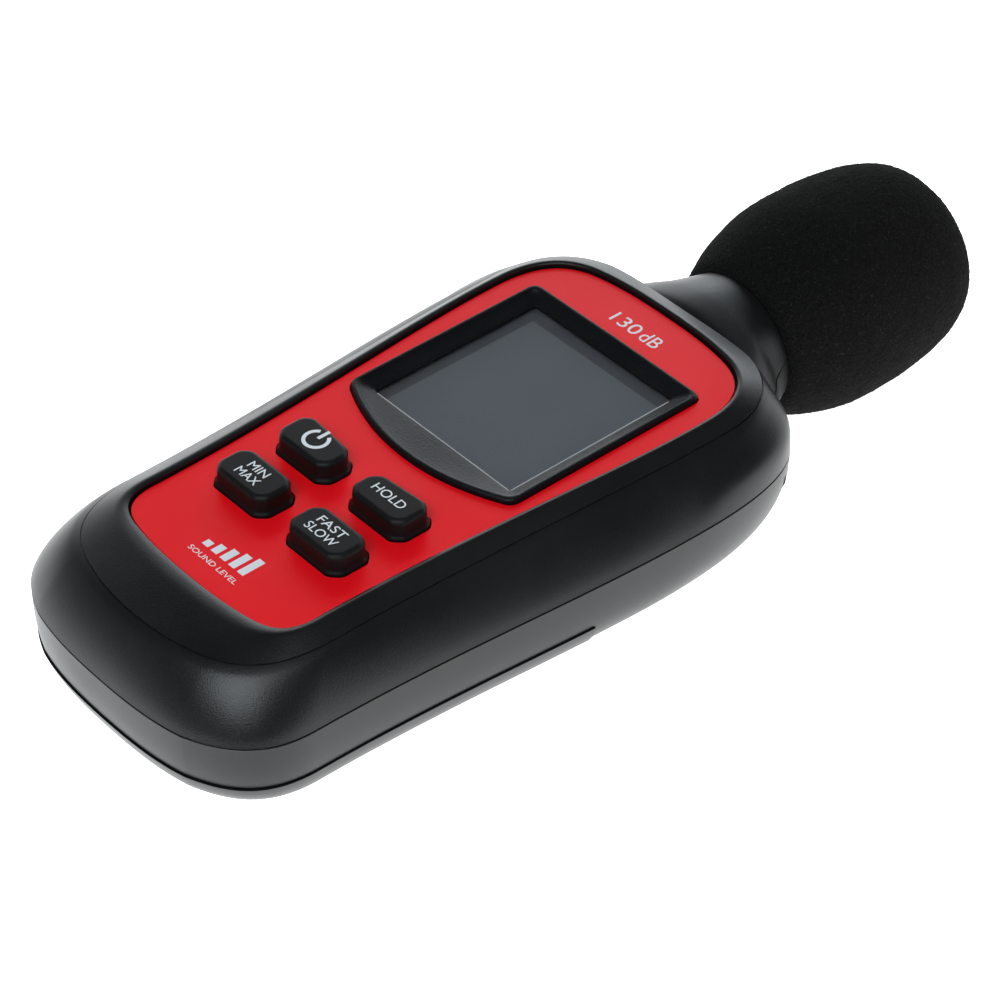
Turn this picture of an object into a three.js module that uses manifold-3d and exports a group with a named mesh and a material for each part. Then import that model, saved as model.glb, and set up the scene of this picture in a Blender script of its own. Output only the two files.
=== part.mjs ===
// A hand-held sound level meter: two moulded housings, a battery cover, four rubber keys, a display,
// a microphone on a tapering neck and a foam windscreen that pulls off.
// Millimetres. The origin lies on the flat back of the rear housing. +X is the user's right, +Y points
// to the microphone and +Z comes out of the display.
import * as THREE from 'three';
import { mergeVertices } from 'three/addons/utils/BufferGeometryUtils.js';
import Module from 'manifold-3d';

const wasm = await Module();
wasm.setup();

// ---------------------------------------------------------------- driving dimensions
const HALF_WIDTH = 30.1;
const TOP_Y = 33;
const TAIL_Y = -70;
const PANEL_Z = 21.4;
const PARTING_Z = 12.6;
const DOOR_Z = 5.4;
const DOOR_TOP_Y = -10;
const GAP = 0.3;

const RIM_Z = PANEL_Z + 0.7;
const RECESS_Z = PANEL_Z - 0.8;
const PANEL_THICKNESS = 0.5;
const CEILING_Z = RECESS_Z - 1.6;
const GROOVE_Z = PANEL_Z - 0.5;
const GROOVE_HALF = 0.2;
const LIP_Z = GROOVE_Z - 0.35;
const GROOVE_FOOT_Z = LIP_Z - 0.4;
const WALL = 1.8;
const FLANK_POWER = 1.3;
const HEAD_SHOULDER = 0.5;
const HEAD_Y = [14, 29];
const BACK_ROUND = 8.4;
const BACK_POWER = 3.2;
const HEAD_BACK_ROUND = 6.1;
const HEAD_BACK_POWER = 2.1;
const HEAD_BACK_Y = [0, 28];

const BEZEL_Z = PANEL_Z + 0.8;
const LENS_TOP_Z = PANEL_Z - 1.05;
const LENS_THICKNESS = 1.2;

const KEY_TOP_Z = PANEL_Z + 3.1;
const KEY_FOOT_Z = 16.9;
const KEY_GAP = 0.3;
const SKIRT = 0.35;
const KEYS = {
  power: { x: -7.7, y: -27.6, width: 10.6, depth: 6.3, tilt: -0.9 },
  hold: { x: 7.7, y: -27.6, width: 10.6, depth: 6.3, tilt: 0.9 },
  min_max: { x: -7.7, y: -38.1, width: 10.6, depth: 6.2, tilt: 0 },
  fast_slow: { x: 7.7, y: -38.1, width: 10.6, depth: 6.2, tilt: 0 },
};

const BOARD_TOP_Z = 14.7;
const BOARD_THICKNESS = 1.6;
const BOARD_HALF_WIDTH = 18;
const BOARD_Y = [-52, 20];
const MAT_Z = [17.9, 18.6];

const MIC_Z = 9.6;
const NECK_END_Y = 42;
const TUBE_RADIUS = 6.35;
const TUBE_WALL = 0.9;
const TUBE_Y = [28.4, 62.8];
const BORE_RADIUS = TUBE_RADIUS + 0.35;
const COLLAR_RADIUS = 7.4;
const SEAL_Y = [38.4, 41.7];

const CELL_RADIUS = 5.15;
const CELL_LENGTH = 44.5;
const CELL_PITCH = 10.9;
const CELL_Z = 6.55;
const BAY_Y = -38.3;
const BAY_HALF_LENGTH = 25.1;
const BAY_HALF_WIDTH = 16.5;
const BAY_WALL = 1.2;
const BAY_CEILING_Z = 12;
const PLATE = 0.4;

const UPPER_SCREWS = { x: 17.4, y: 24.4, radius: 3.1, tip: 18 };
const LOWER_SCREWS = { x: 21.1, y: -55, radius: 2.3, tip: 15.2 };

// ---------------------------------------------------------------- materials
const COLOURS = {
  housing: [0x17181a, 0.55, 0],
  housing_rear: [0x1b1c1e, 0.6, 0],
  panel: [0xc4202b, 0.45, 0],
  bezel: [0x111214, 0.4, 0],
  lens: [0x4a5058, 0.15, 0],
  rubber: [0x141414, 0.8, 0],
  foam: [0x0e0e0e, 1, 0],
  board: [0x1d5a34, 0.5, 0],
  chip: [0x1c1c1e, 0.6, 0],
  metal: [0xb9bcc0, 0.35, 0.9],
  gold: [0xc9a24a, 0.35, 0.9],
  carbon: [0x26262a, 0.7, 0],
  glass: [0x8d968c, 0.2, 0],
  white: [0xe6e6e0, 0.6, 0],
  cell: [0x2f4f7a, 0.45, 0.1],
  red_lead: [0xb02020, 0.6, 0],
};

function material(name) {
  const [color, roughness, metalness] = COLOURS[name];
  return new THREE.MeshStandardMaterial({ color, roughness, metalness });
}

// ---------------------------------------------------------------- solids
function solidOf(geometry) {
  const bare = new THREE.BufferGeometry();
  bare.setAttribute('position', geometry.getAttribute('position'));
  bare.setIndex(geometry.getIndex());
  const merged = mergeVertices(bare, 1e-4);
  const index = merged.index.array;
  const triangles = [];
  for (let i = 0; i < index.length; i += 3) {
    const [a, b, c] = [index[i], index[i + 1], index[i + 2]];
    if (a !== b && b !== c && c !== a) triangles.push(a, b, c);
  }
  const made = manifoldOf(merged.attributes.position.array, triangles);
  if (made.volume() > 0) return made;
  return manifoldOf(merged.attributes.position.array, triangles.reverse());
}

function manifoldOf(vertProperties, triangles) {
  const triVerts = new Uint32Array(triangles);
  return new wasm.Manifold(new wasm.Mesh({ numProp: 3, vertProperties, triVerts }));
}

function meshOf(name, solid, look) {
  const made = solid.getMesh();
  const geometry = new THREE.BufferGeometry();
  geometry.setAttribute('position', new THREE.BufferAttribute(made.vertProperties, 3));
  geometry.setIndex(new THREE.BufferAttribute(made.triVerts, 1));
  const mesh = new THREE.Mesh(geometry.toNonIndexed(), material(look));
  mesh.geometry.computeVertexNormals();
  mesh.name = name;
  return mesh;
}

function block([x0, x1], [y0, y1], [z0, z1]) {
  const geometry = new THREE.BoxGeometry(x1 - x0, y1 - y0, z1 - z0);
  return solidOf(geometry.translate((x0 + x1) / 2, (y0 + y1) / 2, (z0 + z1) / 2));
}

function upright(radius, x, y, [z0, z1], sides = 16) {
  const geometry = new THREE.CylinderGeometry(radius, radius, z1 - z0, sides);
  return solidOf(geometry.rotateX(Math.PI / 2).translate(x, y, (z0 + z1) / 2));
}

// A turned piece round the microphone's axis, or round a parallel one; the profile is [radius, y].
function turned(profile, sides = 24, x = 0, z = MIC_Z) {
  const points = profile.map(([radius, y]) => new THREE.Vector2(radius, y));
  return solidOf(new THREE.LatheGeometry(points, sides).translate(x, 0, z));
}

function plate(outline, [z0, z1], holes = []) {
  const shape = new THREE.Shape(outline);
  shape.holes = holes.map((points) => new THREE.Path(points));
  const geometry = new THREE.ExtrudeGeometry(shape, { depth: z1 - z0, bevelEnabled: false });
  return solidOf(geometry.translate(0, 0, z0));
}

// A closed skin through rings of equal point counts, given from the bottom up as [outline, z].
// With ends joined, the last ring meets the first and the solid is a frame.
function loft(rings, joined = false) {
  const count = rings[0][0].length;
  const position = [];
  for (const [outline, z] of rings) {
    for (const point of outline) position.push(point.x, point.y, z);
  }
  const index = [];
  const last = joined ? rings.length : rings.length - 1;
  for (let ring = 0; ring < last; ring++) {
    for (let i = 0; i < count; i++) {
      const j = (i + 1) % count;
      const low = ring * count;
      const high = ((ring + 1) % rings.length) * count;
      index.push(low + i, low + j, high + j, low + i, high + j, high + i);
    }
  }
  if (!joined) {
    const top = (rings.length - 1) * count;
    for (const [a, b, c] of THREE.ShapeUtils.triangulateShape(rings[0][0], [])) index.push(a, c, b);
    for (const [a, b, c] of THREE.ShapeUtils.triangulateShape(rings[rings.length - 1][0], [])) {
      index.push(top + a, top + b, top + c);
    }
  }
  const geometry = new THREE.BufferGeometry();
  geometry.setAttribute('position', new THREE.Float32BufferAttribute(position, 3));
  geometry.setIndex(index);
  return solidOf(geometry);
}

// A tube along a curve through the given points.
function tube(points, radius, steps, sides = 6) {
  const corners = [];
  for (let i = 0; i < sides; i++) {
    const angle = (2 * Math.PI * i) / sides;
    corners.push(new THREE.Vector2(radius * Math.cos(angle), radius * Math.sin(angle)));
  }
  const extrudePath = new THREE.CatmullRomCurve3(points.map(([x, y, z]) => new THREE.Vector3(x, y, z)));
  return solidOf(new THREE.ExtrudeGeometry(new THREE.Shape(corners), { steps, extrudePath }));
}

// ---------------------------------------------------------------- outlines
// Each outline is drawn as its right half, from the top middle to the bottom middle, in five stretches:
// top edge, upper corner, side, lower corner and bottom edge. Outlines then match point for point.
const STRETCH_POINTS = [3, 6, 6, 6, 3];

function mirrored(half) {
  const right = [];
  half.curves.forEach((curve, i) => {
    right.push(...curve.getSpacedPoints(STRETCH_POINTS[i]).slice(0, -1));
  });
  const bottom = half.curves.at(-1).getPoint(1);
  const left = right.slice(1).map((point) => new THREE.Vector2(-point.x, point.y));
  return [...left, new THREE.Vector2(0, bottom.y), ...right.reverse()];
}

function mixed(outlineA, outlineB, share) {
  return outlineA.map((point, i) => point.clone().lerp(outlineB[i], share));
}

// Draws an outline in by a distance on every side; a negative distance grows it.
function drawnIn(outline, distance) {
  const xs = outline.map((point) => point.x);
  const ys = outline.map((point) => point.y);
  const [left, right] = [Math.min(...xs), Math.max(...xs)];
  const [low, high] = [Math.min(...ys), Math.max(...ys)];
  const scaleX = 1 - (2 * distance) / (right - left);
  const scaleY = 1 - (2 * distance) / (high - low);
  const [middleX, middleY] = [(left + right) / 2, (low + high) / 2];
  return outline.map(
    ({ x, y }) => new THREE.Vector2(middleX + (x - middleX) * scaleX, middleY + (y - middleY) * scaleY),
  );
}

function bodyOutline() {
  const half = new THREE.Path();
  half.moveTo(0, TOP_Y);
  half.bezierCurveTo(6, TOP_Y, 12, 32.8, 18, 32.2);
  half.bezierCurveTo(25.4, 31.8, HALF_WIDTH, 27.2, HALF_WIDTH, 10);
  half.bezierCurveTo(HALF_WIDTH, -10, 26.3, -30, 25.9, -55);
  half.bezierCurveTo(25.7, -62.8, 21.7, -66.2, 15.4, -68.5);
  half.bezierCurveTo(10.6, -69.8, 5, TAIL_Y, 0, TAIL_Y);
  return mirrored(half);
}

function grooveOutline() {
  const half = new THREE.Path();
  half.moveTo(0, 32.4);
  half.bezierCurveTo(5, 32.4, 10, 32.6, 14, 31.9);
  half.bezierCurveTo(19.8, 30.5, 23.7, 26, 23.75, 18.5);
  half.bezierCurveTo(23.95, 2, 21, -22, 21.1, -48.5);
  half.bezierCurveTo(20.9, -56, 18.2, -59.9, 13.3, -61.9);
  half.bezierCurveTo(9, -63.5, 4.5, -64.1, 0, -64.1);
  return mirrored(half);
}

function panelOutline() {
  const half = new THREE.Path();
  half.moveTo(0, 28.9);
  half.bezierCurveTo(5, 28.9, 9.5, 28.7, 13.6, 27.7);
  half.bezierCurveTo(18, 26.5, 20.5, 23.5, 20.8, 17);
  half.bezierCurveTo(21.2, 2, 17.2, -24, 17.3, -48);
  half.bezierCurveTo(17.2, -51.6, 15.6, -53.2, 12.4, -53.9);
  half.bezierCurveTo(8.5, -54.7, 4, -54.9, 0, -54.9);
  return mirrored(half);
}

function bezelOutline() {
  const half = new THREE.Path();
  half.moveTo(0, 19.9);
  half.lineTo(15.5, 19.8);
  half.quadraticCurveTo(17.1, 19.8, 17.1, 18.3);
  half.lineTo(17.1, -13);
  half.quadraticCurveTo(17.1, -14.5, 15.7, -15.1);
  half.quadraticCurveTo(8, -18.8, 0, -18.8);
  return mirrored(half);
}

function lensOutline() {
  const half = new THREE.Path();
  half.moveTo(0, 17.1);
  half.lineTo(13.5, 17.1);
  half.quadraticCurveTo(14.06, 17.1, 14.06, 16.6);
  half.lineTo(14.06, -11.8);
  half.quadraticCurveTo(14.06, -12.3, 13.5, -12.3);
  half.lineTo(0, -12.3);
  return mirrored(half);
}

// A key's top face: a rectangle with cut and rounded corners, whose upper edge may slope.
function keyOutline({ x, y, width, depth, tilt }, grow = 0) {
  const [w, d] = [width / 2 + grow, depth / 2 + grow];
  const cut = 1.25 + grow * 0.4;
  const left = d - Math.max(tilt, 0);
  const right = d + Math.min(tilt, 0);
  const slope = (right - left) / (2 * w);
  const corners = [
    [-w, -d + cut],
    [-w + cut, -d],
    [w - cut, -d],
    [w, -d + cut],
    [w, right - cut],
    [w - cut, right - slope * cut],
    [-w + cut, left + slope * cut],
    [-w, left - cut],
  ];
  return roundedCorners(corners, 0.4).map((point) => new THREE.Vector2(point.x + x, point.y + y));
}

function roundedCorners(corners, reach) {
  const points = [];
  corners.forEach(([x, y], i) => {
    const here = new THREE.Vector2(x, y);
    const before = new THREE.Vector2(...corners.at(i - 1));
    const after = new THREE.Vector2(...corners[(i + 1) % corners.length]);
    const start = here.clone().add(before.sub(here).setLength(reach));
    const end = here.clone().add(after.sub(here).setLength(reach));
    points.push(...new THREE.QuadraticBezierCurve(start, here, end).getPoints(2));
  });
  return points;
}

function rectangle([x0, x1], [y0, y1], corner) {
  const corners = [[x0, y0], [x1, y0], [x1, y1], [x0, y1]];
  return roundedCorners(corners, corner);
}

const BODY = bodyOutline();
const GROOVE = grooveOutline();
const LIP = drawnIn(GROOVE, -GROOVE_HALF);
const PANEL = panelOutline();
const BEZEL = bezelOutline();
const LENS = lensOutline();

// ---------------------------------------------------------------- housings
// The front housing's flank, from the groove's lip at share 0 down to the parting line at share 1.
// It bulges at the sides and the tail. At the head it is a short shoulder over an upright wall.
function flank(share) {
  const slope = (1 - (1 - share) ** FLANK_POWER) ** (1 / FLANK_POWER);
  const rise = share / HEAD_SHOULDER;
  const shoulder = rise / (1 + rise ** 6) ** (1 / 6);
  return LIP.map((point, i) => {
    const head = THREE.MathUtils.smoothstep(point.y, ...HEAD_Y);
    return point.clone().lerp(BODY[i], slope + (shoulder - slope) * head);
  });
}

function flankRings(steps) {
  const rings = [];
  for (let i = 0; i <= steps; i++) {
    const share = 1 - i / steps;
    rings.push([flank(share), LIP_Z + (PARTING_Z - LIP_Z) * share]);
  }
  return rings;
}

function rimRings() {
  return [
    [LIP, GROOVE_FOOT_Z],
    [drawnIn(GROOVE, GROOVE_HALF), GROOVE_FOOT_Z],
    [drawnIn(GROOVE, GROOVE_HALF), GROOVE_Z + 0.1],
    [mixed(GROOVE, PANEL, 0.4), RIM_Z - 0.25],
    [drawnIn(PANEL, -1), RIM_Z],
    [drawnIn(PANEL, -0.5), RIM_Z - 0.2],
    [drawnIn(PANEL, -GAP), RECESS_Z],
  ];
}

// The neck's oval sections along Y as [y, half width, height over the axis].
const NECK = [
  [27, 27, 10.8],
  [29.5, 25, 10.9],
  [31.5, 22, 11],
  [33, 19.6, 11],
  [34.8, 17, 10.9],
  [36.8, 15.4, 11],
  [39, 13.4, 11.1],
  [NECK_END_Y, 11.5, 11.1],
];

function neck(sides = 36) {
  const position = [];
  for (const [y, halfWidth, height] of NECK) {
    for (let i = 0; i < sides; i++) {
      const angle = (2 * Math.PI * i) / sides;
      const rise = Math.sin(angle) > 0 ? height : MIC_Z;
      position.push(halfWidth * Math.cos(angle), y, MIC_Z + rise * Math.sin(angle));
    }
  }
  const index = [];
  const end = (NECK.length - 1) * sides;
  for (let i = 0; i < sides; i++) {
    const j = (i + 1) % sides;
    for (let low = 0; low < end; low += sides) {
      const high = low + sides;
      index.push(low + i, high + j, low + j, low + i, high + i, high + j);
    }
    if (i > 0 && i < sides - 1) {
      index.push(0, i, i + 1, end, end + i + 1, end + i);
    }
  }
  const geometry = new THREE.BufferGeometry();
  geometry.setAttribute('position', new THREE.Float32BufferAttribute(position, 3));
  geometry.setIndex(index);
  return solidOf(geometry);
}

function neckBore() {
  const bore = turned([[0, 20], [BORE_RADIUS, 20], [BORE_RADIUS, 45], [0, 45]]);
  const seat = turned([[0, SEAL_Y[0] - GAP], [8.1, SEAL_Y[0] - GAP], [8.1, 45], [0, 45]]);
  const collar = turned([[0, 22], [COLLAR_RADIUS + GAP, 22], [COLLAR_RADIUS + GAP, 30.2], [0, 30.2]]);
  return bore.add(seat).add(collar);
}

function screwPlaces() {
  const places = [];
  for (const side of [-1, 1]) {
    places.push({ ...UPPER_SCREWS, x: side * UPPER_SCREWS.x, head: 1.2 });
    places.push({ ...LOWER_SCREWS, x: side * LOWER_SCREWS.x, head: DOOR_Z + 1 });
  }
  return places;
}

function frontShell() {
  const bottom = PARTING_Z + GAP / 2;
  const filled = loft([...flankRings(5), ...rimRings()]);
  let shell = filled.add(neck()).intersect(block([-50, 50], [-90, 60], [bottom, 40]));
  const ceilingShare = (LIP_Z - CEILING_Z) / (LIP_Z - PARTING_Z);
  const cavity = loft([
    [drawnIn(BODY, WALL), bottom - 1],
    [drawnIn(BODY, WALL), bottom],
    [drawnIn(flank(0.6), WALL), LIP_Z + (PARTING_Z - LIP_Z) * 0.6],
    [drawnIn(flank(ceilingShare), WALL), CEILING_Z],
  ]);
  shell = shell.subtract(cavity).subtract(neckBore());
  const opening = [RECESS_Z - 5, PANEL_Z + 5];
  shell = shell.subtract(plate(drawnIn(LENS, -1.3), opening));
  for (const key of Object.values(KEYS)) {
    shell = shell.subtract(plate(keyOutline(key, SKIRT + KEY_GAP), opening));
  }
  for (const { x, y, radius, tip } of screwPlaces()) {
    const boss = upright(radius, x, y, [PARTING_Z + GAP, CEILING_Z + 0.5]).intersect(filled);
    shell = shell.add(boss).subtract(upright(1.35, x, y, [PARTING_Z - 1, tip + GAP], 12));
  }
  return shell;
}

// How far the rear housing's outside is drawn in at a height, from the parting line to the back.
function rearInset(z, round, power) {
  const fall = Math.min(1, (PARTING_Z - z) / PARTING_Z);
  return round * (1 - (1 - fall ** power) ** (1 / power));
}

function rearOutline(z, extra) {
  const usual = drawnIn(BODY, rearInset(z, BACK_ROUND, BACK_POWER) + extra);
  const head = drawnIn(BODY, rearInset(z, HEAD_BACK_ROUND, HEAD_BACK_POWER) + extra);
  return usual.map((point, i) =>
    point.clone().lerp(head[i], THREE.MathUtils.smoothstep(point.y, ...HEAD_BACK_Y)),
  );
}

const REAR_HEIGHTS = [0, 0.3, 1.2, 3, DOOR_Z, 8.5, PARTING_Z - GAP / 2];

function rearLoft(extra, lift) {
  return loft(REAR_HEIGHTS.map((z) => [rearOutline(z, extra), z + lift]));
}

function bay([z0, z1], grow) {
  const halfWidth = BAY_HALF_WIDTH + grow;
  const halfLength = BAY_HALF_LENGTH + grow;
  return block([-halfWidth, halfWidth], [BAY_Y - halfLength, BAY_Y + halfLength], [z0, z1]);
}

function rearShell() {
  const everywhere = [-60, 60];
  const outside = rearLoft(0, 0);
  let shell = outside.add(neck()).intersect(block(everywhere, [-90, 60], [0, PARTING_Z - GAP / 2]));
  const inside = rearLoft(WALL, WALL);
  const head = inside.intersect(block(everywhere, [DOOR_TOP_Y + WALL, 60], [0, 40]));
  const upper = inside.intersect(block(everywhere, [-90, 60], [DOOR_Z + 1.6, 40]));
  shell = shell.subtract(head).subtract(upper);
  const lidTop = BAY_CEILING_Z + 0.8;
  const lid = bay([BAY_CEILING_Z, lidTop], BAY_WALL).intersect(plate(drawnIn(BODY, WALL + GAP), [0, lidTop]));
  const sides = bay([0, PARTING_Z - GAP / 2], BAY_WALL).intersect(rearLoft(0.4, 0.6));
  const underDoor = block(everywhere, [-90, DOOR_TOP_Y + GAP], [-1, DOOR_Z]);
  const kept = bay([2.4, 12], BAY_WALL).intersect(doorInside(GAP));
  shell = shell.add(sides).add(lid).subtract(underDoor.subtract(kept));
  shell = shell.subtract(bay([-1, BAY_CEILING_Z], 0)).subtract(neckBore());
  for (const { x, y, radius, head: headZ } of screwPlaces()) {
    const post = upright(radius, x, y, [headZ, PARTING_Z - GAP / 2]);
    const shank = upright(1.35, x, y, [-1, 20], 12);
    const sink = upright(2.2, x, y, [-1, headZ + 2.2], 16);
    shell = shell.add(post).subtract(shank).subtract(sink);
  }
  return shell;
}

// ---------------------------------------------------------------- battery cover
const COVER_PROUD = 0.3;
const COVER_WALL = 1.1;

function doorInside(gap) {
  return rearLoft(COVER_WALL + 0.2 - COVER_PROUD + gap, COVER_WALL + gap);
}

function batteryCover() {
  const reach = block([-60, 60], [-90, DOOR_TOP_Y], [0, DOOR_Z - GAP]);
  let cover = rearLoft(-COVER_PROUD, 0).intersect(reach).subtract(doorInside(0));
  for (let i = 0; i < 5; i++) {
    const y = DOOR_TOP_Y - 5 - 2.2 * i;
    cover = cover.subtract(block([-7, 7], [y - 0.5, y + 0.5], [-1, 0.45]));
  }
  return cover;
}

// ---------------------------------------------------------------- panel and display
function frontPanel() {
  const holes = [drawnIn(BEZEL, -GAP)];
  for (const key of Object.values(KEYS)) holes.push(keyOutline(key, SKIRT + KEY_GAP));
  return plate(PANEL, [PANEL_Z - PANEL_THICKNESS, PANEL_Z], holes);
}

function bezel() {
  const seat = RECESS_Z + GAP;
  const lip = LENS_TOP_Z + GAP;
  return loft(
    [
      [BEZEL, seat],
      [BEZEL, BEZEL_Z - 0.35],
      [drawnIn(BEZEL, 0.3), BEZEL_Z - 0.05],
      [drawnIn(BEZEL, 0.8), BEZEL_Z],
      [mixed(BEZEL, LENS, 0.45), BEZEL_Z - 0.25],
      [mixed(BEZEL, LENS, 0.85), lip + 0.45],
      [LENS, lip + 0.25],
      [LENS, lip],
      [drawnIn(LENS, -0.9), lip],
      [drawnIn(LENS, -1.2), seat],
    ],
    true,
  );
}

function displayParts() {
  const lensFoot = LENS_TOP_Z - LENS_THICKNESS;
  const glassTop = lensFoot - 0.35;
  const glassFoot = glassTop - 2;
  const glass = plate(rectangle([-15.5, 15.5], [-15, 18.5], 0.3), [glassFoot, glassTop]);
  const frame = rectangle([-16.5, 16.5], [-11.2, 19.4], 1);
  return [
    meshOf('display_lens', plate(drawnIn(LENS, -1), [lensFoot, LENS_TOP_Z]), 'lens'),
    meshOf('lcd_glass', glass, 'glass'),
    meshOf('backlight_holder', plate(frame, [BOARD_TOP_Z + GAP, glassFoot - GAP]), 'white'),
    meshOf(
      'elastomer_strip',
      block([-14, 14], [-14.4, -12], [BOARD_TOP_Z + GAP, glassFoot - GAP]),
      'rubber',
    ),
  ];
}

// ---------------------------------------------------------------- keys
function key(shape) {
  const at = (grow, z) => [keyOutline(shape, grow), z];
  return loft([
    at(0.9, KEY_FOOT_Z),
    at(0.9, MAT_Z[0] - GAP),
    at(SKIRT, MAT_Z[0] - GAP + 0.05),
    at(SKIRT, PANEL_Z + 0.35),
    at(0.05, PANEL_Z + 0.7),
    at(0, KEY_TOP_Z - 0.7),
    at(-0.25, KEY_TOP_Z - 0.2),
    at(-0.8, KEY_TOP_Z),
  ]);
}

function keypadMat() {
  const holes = Object.values(KEYS).map((shape) => keyOutline(shape, SKIRT + KEY_GAP));
  return plate(rectangle([-16, 16], [-45, -20.6], 2), MAT_Z, holes);
}

function keyParts() {
  const parts = [meshOf('keypad_mat', keypadMat(), 'rubber')];
  for (const [name, shape] of Object.entries(KEYS)) {
    const pill = upright(2.4, shape.x, shape.y, [KEY_FOOT_Z - 0.9, KEY_FOOT_Z - GAP]);
    const pad = upright(2.8, shape.x, shape.y, [BOARD_TOP_Z + GAP, BOARD_TOP_Z + GAP + 0.15]);
    parts.push(meshOf('key_' + name, key(shape), 'rubber'));
    parts.push(meshOf('carbon_pill_' + name, pill, 'carbon'));
    parts.push(meshOf('contact_pad_' + name, pad, 'gold'));
  }
  return parts;
}

// ---------------------------------------------------------------- circuit board
function boardParts() {
  const boardZ = [BOARD_TOP_Z - BOARD_THICKNESS, BOARD_TOP_Z];
  const outline = rectangle([-BOARD_HALF_WIDTH, BOARD_HALF_WIDTH], BOARD_Y, 1.5);
  const under = BOARD_TOP_Z - BOARD_THICKNESS - GAP;
  const chip = (x, y, w, d, h) =>
    block([x - w / 2, x + w / 2], [y - d / 2, y + d / 2], [under - h, under]);
  return [
    meshOf('main_board', plate(outline, boardZ), 'board'),
    meshOf('processor_chip', chip(0, 2, 10, 10, 1.4), 'chip'),
    meshOf('amplifier_chip', chip(8, 13, 5, 4, 1.5), 'chip'),
    meshOf('calibration_trimmer', chip(-10, 13, 4.5, 4.5, 2.6), 'white'),
    meshOf('supply_capacitor', upright(2.5, -11, -5, [under - 5.4, under]), 'metal'),
    meshOf('quartz_can', chip(10, 0, 3.6, 8, 2.4), 'metal'),
  ];
}

// ---------------------------------------------------------------- microphone
function micTube() {
  const [y0, y1] = TUBE_Y;
  const inner = TUBE_RADIUS - TUBE_WALL;
  return turned([
    [inner, y0],
    [COLLAR_RADIUS, y0],
    [COLLAR_RADIUS, y0 + 1.5],
    [TUBE_RADIUS, y0 + 1.5],
    [TUBE_RADIUS, y1 - 0.5],
    [TUBE_RADIUS - 0.5, y1],
    [4.2, y1],
    [4.2, y1 - 0.8],
    [inner, y1 - 0.8],
    [inner, y0],
  ]);
}

function micParts() {
  const capsuleY = TUBE_Y[1] - 0.8 - GAP;
  const capsule = [[0, capsuleY - 5], [4.85, capsuleY - 5], [4.85, capsuleY], [0, capsuleY]];
  const seal = [[TUBE_RADIUS + GAP, SEAL_Y[0]], [7.8, SEAL_Y[0]], [7.8, SEAL_Y[1]]];
  seal.push([TUBE_RADIUS + GAP, SEAL_Y[1]], [TUBE_RADIUS + GAP, SEAL_Y[0]]);
  const gauze = [[0, capsuleY + GAP], [3.9, capsuleY + GAP], [3.9, capsuleY + 0.8], [0, capsuleY + 0.8]];
  const parts = [
    meshOf('mic_tube', micTube(), 'metal'),
    meshOf('mic_capsule', turned(capsule, 20), 'metal'),
    meshOf('mic_gauze', turned(gauze, 16), 'chip'),
    meshOf('neck_seal', turned(seal), 'rubber'),
  ];
  for (const [name, side] of [['mic_lead_signal', 1], ['mic_lead_ground', -1]]) {
    const route = [
      [side * 1.2, capsuleY - 5.4, MIC_Z],
      [side * 1.2, 44, MIC_Z],
      [side * 1.2, 30, MIC_Z],
      [side * 1.8, 24, 11],
      [side * 2.2, BOARD_Y[1] + 0.4, BOARD_TOP_Z - 0.8],
    ];
    parts.push(meshOf(name, tube(route, 0.5, 10), side > 0 ? 'red_lead' : 'rubber'));
  }
  return parts;
}

// The windscreen's outside as [radius, y], from the neck to the blunt far end.
const FOAM_START_Y = NECK_END_Y + GAP;
const FOAM_END_Y = 82.1;

function windscreen() {
  const outside = new THREE.SplineCurve(
    [
      [11, FOAM_START_Y],
      [11.9, FOAM_START_Y + 1],
      [12.9, 45.6],
      [14.6, 50],
      [16.1, 56],
      [16.3, 63],
      [15.9, 69.2],
      [14.8, 74.8],
      [12.7, 79],
      [8.7, 81.2],
      [0, FOAM_END_Y],
    ].map(([radius, y]) => new THREE.Vector2(radius, y)),
  );
  const bore = TUBE_RADIUS + GAP;
  const skin = outside.getSpacedPoints(16).map(({ x, y }) => [Math.max(x, 0), y]);
  skin[skin.length - 1][0] = 0;
  return turned([[0, TUBE_Y[1] + 1], [bore, TUBE_Y[1] + 1], [bore, FOAM_START_Y], ...skin], 30);
}

// ---------------------------------------------------------------- batteries and contacts
function cell(index) {
  const x = (index - 1) * CELL_PITCH;
  const way = index === 1 ? -1 : 1;
  const nubEnd = BAY_HALF_LENGTH - 2 * GAP - PLATE;
  const foot = nubEnd - CELL_LENGTH;
  const profile = [
    [0, foot],
    [CELL_RADIUS - 0.4, foot],
    [CELL_RADIUS, foot + 0.4],
    [CELL_RADIUS, nubEnd - 1.5],
    [CELL_RADIUS - 0.4, nubEnd - 1.1],
    [1.9, nubEnd - 1.1],
    [1.9, nubEnd],
    [0, nubEnd],
  ].map(([radius, y]) => [radius, BAY_Y + way * y]);
  return turned(profile, 20, x, CELL_Z);
}

function contactPlate(index, way) {
  const x = (index - 1) * CELL_PITCH;
  const outer = BAY_Y + way * (BAY_HALF_LENGTH - GAP);
  const ends = [outer, outer - way * PLATE].sort((a, b) => a - b);
  return block([x - 4, x + 4], ends, [CELL_Z - 2.6, CELL_Z + 3.8]);
}

function contactSpring(index) {
  const x = (index - 1) * CELL_PITCH;
  const way = index === 1 ? 1 : -1;
  const [turns, radius, wire] = [2.5, 2.6, 0.35];
  const start = BAY_HALF_LENGTH - GAP - PLATE - GAP - wire;
  const length = 2 * BAY_HALF_LENGTH - CELL_LENGTH - 5 * GAP - 2 * PLATE - 2 * wire - 0.3;
  const points = [];
  const steps = 24;
  for (let i = 0; i <= steps; i++) {
    const angle = (2 * Math.PI * turns * i) / steps;
    const y = BAY_Y + way * (start - (length * i) / steps);
    points.push([x + radius * Math.cos(angle), y, CELL_Z + radius * Math.sin(angle)]);
  }
  return tube(points, wire, 30, 5);
}

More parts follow.
